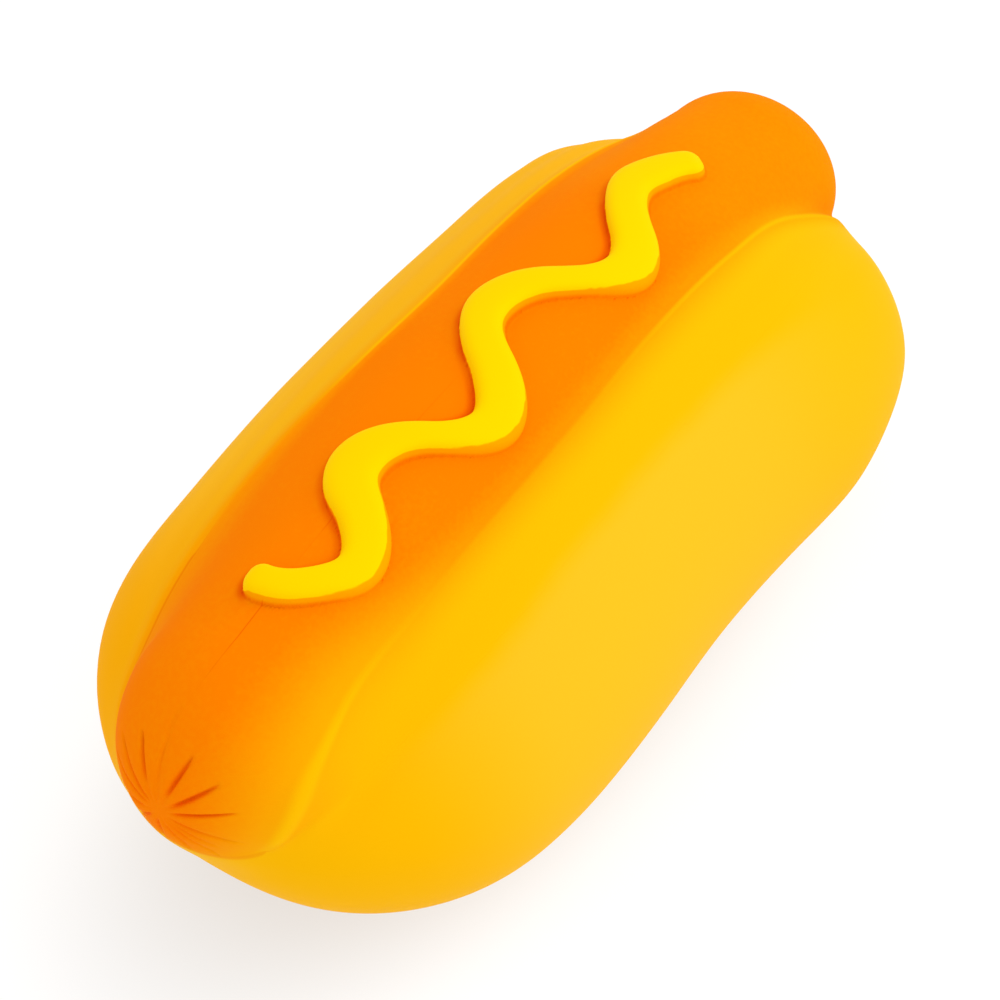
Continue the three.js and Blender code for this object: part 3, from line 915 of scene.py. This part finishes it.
def rubber_spray_and_painted_light(start, place, cloud):
    """The dyed rubber with a painted sheen outside the creases, and the orange spray on it, lighter along the
    beads where paint was rubbed off and a highlight is painted.
    """
    crease_side, along, lip = (start.kept(name) for name in ("beyond_crease", "along", "beyond_lip"))
    painted_sheen_stretch = along.step(*PAINTED_SHEEN_START) * (1.0 - along.step(*PAINTED_SHEEN_END))
    # Painted sheen: beyond the crease the outer face of the bun is drawn paler.
    painted_sheen = (crease_side + cloud * 3.0).step(*PAINTED_SHEEN_EDGE) * painted_sheen_stretch
    rubber_and_sheen_colours = {0: painted_sheen, 6: FACE_RUBBER, 7: PAINTED_SHEEN_RUBBER}
    rubber = start.node("ShaderNodeMix", {"data_type": "RGBA"}, rubber_and_sheen_colours, output=2)
    near_end = 1.0 - along.step(-63.0, -50.0)
    # A paler line along the bead: partly paint rubbed off, partly a painted highlight on its crest.
    worn_and_highlight = lip.line(0.08, near_end * 0.8 + 0.45) * start.kept("lip_wear_and_highlight")
    crisp, soft = lip.step(0.0, 0.4), lip.step(-0.8, 1.2)
    outside = soft + (crisp - soft) * along.step(-26.0, -8.0)
    kept_share = (1.0 - worn_and_highlight) * (1.0 - outside * start.kept("lip_stop"))
    uneven = start.noise(place, 1500.0, 2.0) * MIST_STRENGTH + cloud * CLOUD_STRENGTH + 1.0
    thinned = 1.0 - along.step(18.0, 52.0) * FAR_THINNING
    return rubber.mix(ORANGE_PAINT, (start.kept("spray") * uneven * kept_share * thinned).clamped())


def painted_shade_and_hair(start, place, beyond, left_side):
    """Where the colour is darkened: painted shade in the creases, the grooves and the fold, painted shade and
    gathered paint at the foot of the ridge, a painted shadow to its left, and a dark hair along the parting
    line.
    """
    raised = start.kept("raised")
    low = 1.0 - raised.step(0.15, 1.0)
    patches = (start.noise(place, 110.0, 1.0) + 0.04).step(0.0, 0.12)
    # Painted shadow on the left of the ridge, the side away from the soft box, blotchy in strength.
    shadow_beside = (1.0 - beyond.step(0.15, 1.3)) * left_side * (1.0 - raised.step(0.1, 0.6)) * (patches * 0.4 + 0.5)
    # Foot of the ridge: partly painted shade, partly paint gathered in the corner.
    foot = (beyond - 0.05).line(0.05, 0.3) * low
    hair = start.kept("parting").line(0.03, 0.12) * low * start.kept("hair") * (patches * 0.6 + 0.4)
    # The groove, the fold and the creases are darkened as painted shade.
    groove = start.kept("beyond_groove").line(0.04, 0.32)
    fold = start.kept("above_fold").line(0.1, 0.7)
    crease = start.kept("crease").step(0.05, 0.65)
    shade_lines = crease * CREASE_SHADE + foot * FOOT_SHADE_AND_PAINT + groove * GROOVE_SHADE + fold * FOLD_SHADE
    return (shade_lines + shadow_beside + hair).clamped()


def make_finish():
    material = bpy.data.materials.new("painted_rubber")
    material.use_nodes = True
    tree = material.node_tree
    shader = tree.nodes["Principled BSDF"]
    start = Wire(tree)
    place = start.node("ShaderNodeTexCoord", {}, {}, output=3)
    cloud, wobble = start.noise(place, 38.0, 3.0), start.noise(place, 420.0, 2.0)
    raised, beyond = start.kept("raised"), start.kept("beyond_mustard")
    left_side = start.kept("left_of_mustard").step(0.1, 0.8)

    painted = rubber_spray_and_painted_light(start, place, cloud)
    painted = painted.mix(YELLOW_PAINT, raised.step(0.2, 0.9) * FILM_STRENGTH)
    # Painted shade, a painted shadow and the parting hair, in deep orange.
    painted = painted.mix(SHADE_AND_HAIR_ORANGE, painted_shade_and_hair(start, place, beyond, left_side))
    brushed = raised + wobble * 0.30 + left_side * (PAINT_EDGE - PAINT_EDGE_LEFT)
    mustard = brushed.step(PAINT_EDGE - PAINT_EDGE_HALF, PAINT_EDGE + PAINT_EDGE_HALF)
    mustard = mustard * (1.0 - (beyond + wobble * 0.5 - left_side * 2.0).step(-0.25, -0.05))
    colour = painted.mix(YELLOW_PAINT, mustard)

    grain = start.noise(place, 2600.0, 2.0) + start.noise(place, 240.0, 2.0) * 1.5
    bump_inputs = {"Strength": BUMP_STRENGTH, "Distance": BUMP_HEIGHT, "Height": grain}
    bump = start.node("ShaderNodeBump", {}, bump_inputs)
    roughness = 0.50 + cloud * 0.10 + start.kept("spray") * 0.30 - mustard * 0.25
    for wire, name in ((colour, "Base Color"), (roughness, "Roughness"), (bump, "Normal")):
        tree.links.new(wire.socket, shader.inputs[name])
    shader.inputs["Specular IOR Level"].default_value = SHEEN
    shader.inputs["Specular Tint"].default_value = SHEEN_TINT
    return material


toy_mesh.materials.clear()
toy_mesh.materials.append(make_finish())
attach(toy, "root")
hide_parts("toy_hot_dog")
print("toy:", len(toy_mesh.vertices), "vertices")

# %% [markdown]
# ## White table and soft light
#
# The toy was photographed on a lit white table, in light from all round with a soft box at the right. The
# table glows itself, as a light table does, so the shadows stay faint and clean. Under the toy that glow is
# dimmed in a soft oval, a painted shadow.

# %% Floor and light
FLOOR_HALF, FLOOR_WHITE, FLOOR_GLOW = 3.0, 0.20, 0.84
SHADE_CENTRE, SHADE_AXES = (-6.0, 4.0, 0.0), (60.0, 26.0, 1.0)
SHADE_START, SHADE_END, SHADE_TINT = 0.6, 1.55, (0.75, 0.75, 0.75, 1.0)
WORLD_STRENGTH = 0.95
SOFT_BOX_PLACE, SOFT_BOX_SIZE, SOFT_BOX_POWER = Vector((0.22, -0.32, 0.42)), 0.55, 1.15


def make_floor():
    """The table, which glows, with a painted shadow under the toy where the glow is dimmed."""
    bm = bmesh.new()
    bmesh.ops.create_grid(bm, x_segments=1, y_segments=1, size=FLOOR_HALF)
    floor = new_object("floor", to_mesh(bm, "floor"))
    material = bpy.data.materials.new("white_table")
    material.use_nodes = True
    shader = material.node_tree.nodes["Principled BSDF"]
    shader.inputs["Base Color"].default_value = (FLOOR_WHITE, FLOOR_WHITE, FLOOR_WHITE, 1.0)
    start = Wire(material.node_tree)
    place = start.node("ShaderNodeTexCoord", {}, {}, output=3)
    centre, axes = Vector(SHADE_CENTRE) * MM, Vector(SHADE_AXES) * MM
    aside = start.node("ShaderNodeVectorMath", {"operation": "SUBTRACT"}, {0: place, 1: centre})
    shares = start.node("ShaderNodeVectorMath", {"operation": "DIVIDE"}, {0: aside, 1: axes})
    distance = start.node("ShaderNodeVectorMath", {"operation": "LENGTH"}, {0: shares}, output=1)
    # Painted shadow: the glow is dimmed in a soft oval under the toy.
    shadow_oval = {0: distance.step(SHADE_START, SHADE_END), 6: SHADE_TINT, 7: (1.0, 1.0, 1.0, 1.0)}
    glow_with_shadow = start.node("ShaderNodeMix", {"data_type": "RGBA"}, shadow_oval, output=2)
    material.node_tree.links.new(glow_with_shadow.socket, shader.inputs["Emission Color"])
    shader.inputs["Emission Strength"].default_value = FLOOR_GLOW
    shader.inputs["Roughness"].default_value = 0.9
    shader.inputs["Specular IOR Level"].default_value = 0.0
    floor.data.materials.append(material)


def make_light():
    world = bpy.data.worlds.new("white_room")
    world.use_nodes = True
    background = world.node_tree.nodes["Background"]
    background.inputs["Color"].default_value = (1.0, 1.0, 1.0, 1.0)
    background.inputs["Strength"].default_value = WORLD_STRENGTH
    bpy.context.scene.world = world
    data = bpy.data.lights.new("soft_box", "AREA")
    data.size, data.energy = SOFT_BOX_SIZE, SOFT_BOX_POWER
    lamp = bpy.data.objects.new("soft_box", data)
    lamp.location = SOFT_BOX_PLACE
    lamp.rotation_euler = (SOFT_BOX_PLACE - CAMERA_TARGET).to_track_quat("Z", "Y").to_euler()
    bpy.context.scene.collection.objects.link(lamp)


make_floor()
make_light()
bpy.context.scene.view_settings.view_transform = "Standard"
print("floor and light are set")
